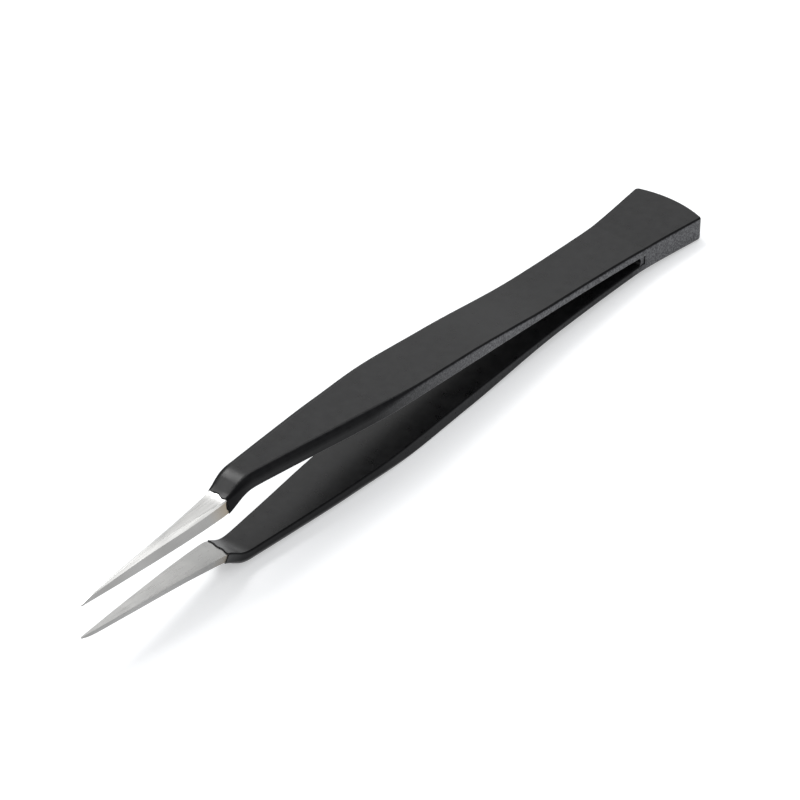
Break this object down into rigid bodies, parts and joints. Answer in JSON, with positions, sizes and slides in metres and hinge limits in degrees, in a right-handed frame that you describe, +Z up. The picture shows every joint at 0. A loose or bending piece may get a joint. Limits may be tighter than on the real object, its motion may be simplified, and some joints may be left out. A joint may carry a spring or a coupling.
{
  "type": "fine-point tweezers",
  "caption": "Slim fine-point tweezers with a stepped neck, a flared rear end and a black epoxy coat up to the bare steel points.",
  "frame": {"origin": "centre of the bounding box at table height, with the tweezers lying on the back of one arm", "axes": "+X along the tweezers from the points to the rear end, +Y across the arms, +Z up, from the lower arm to the upper arm"},
  "size_m": [0.1302, 0.012, 0.015],
  "materials": {
    "steel": "bright stainless steel, finely ground along the blades",
    "coating": "satin black epoxy with a faint orange peel"
  },
  "bodies": {
    "root": {"upper_arm": "steel", "lower_arm": "steel", "rear_spacer": "steel", "epoxy_coating": "coating"}
  },
  "joints": []
}
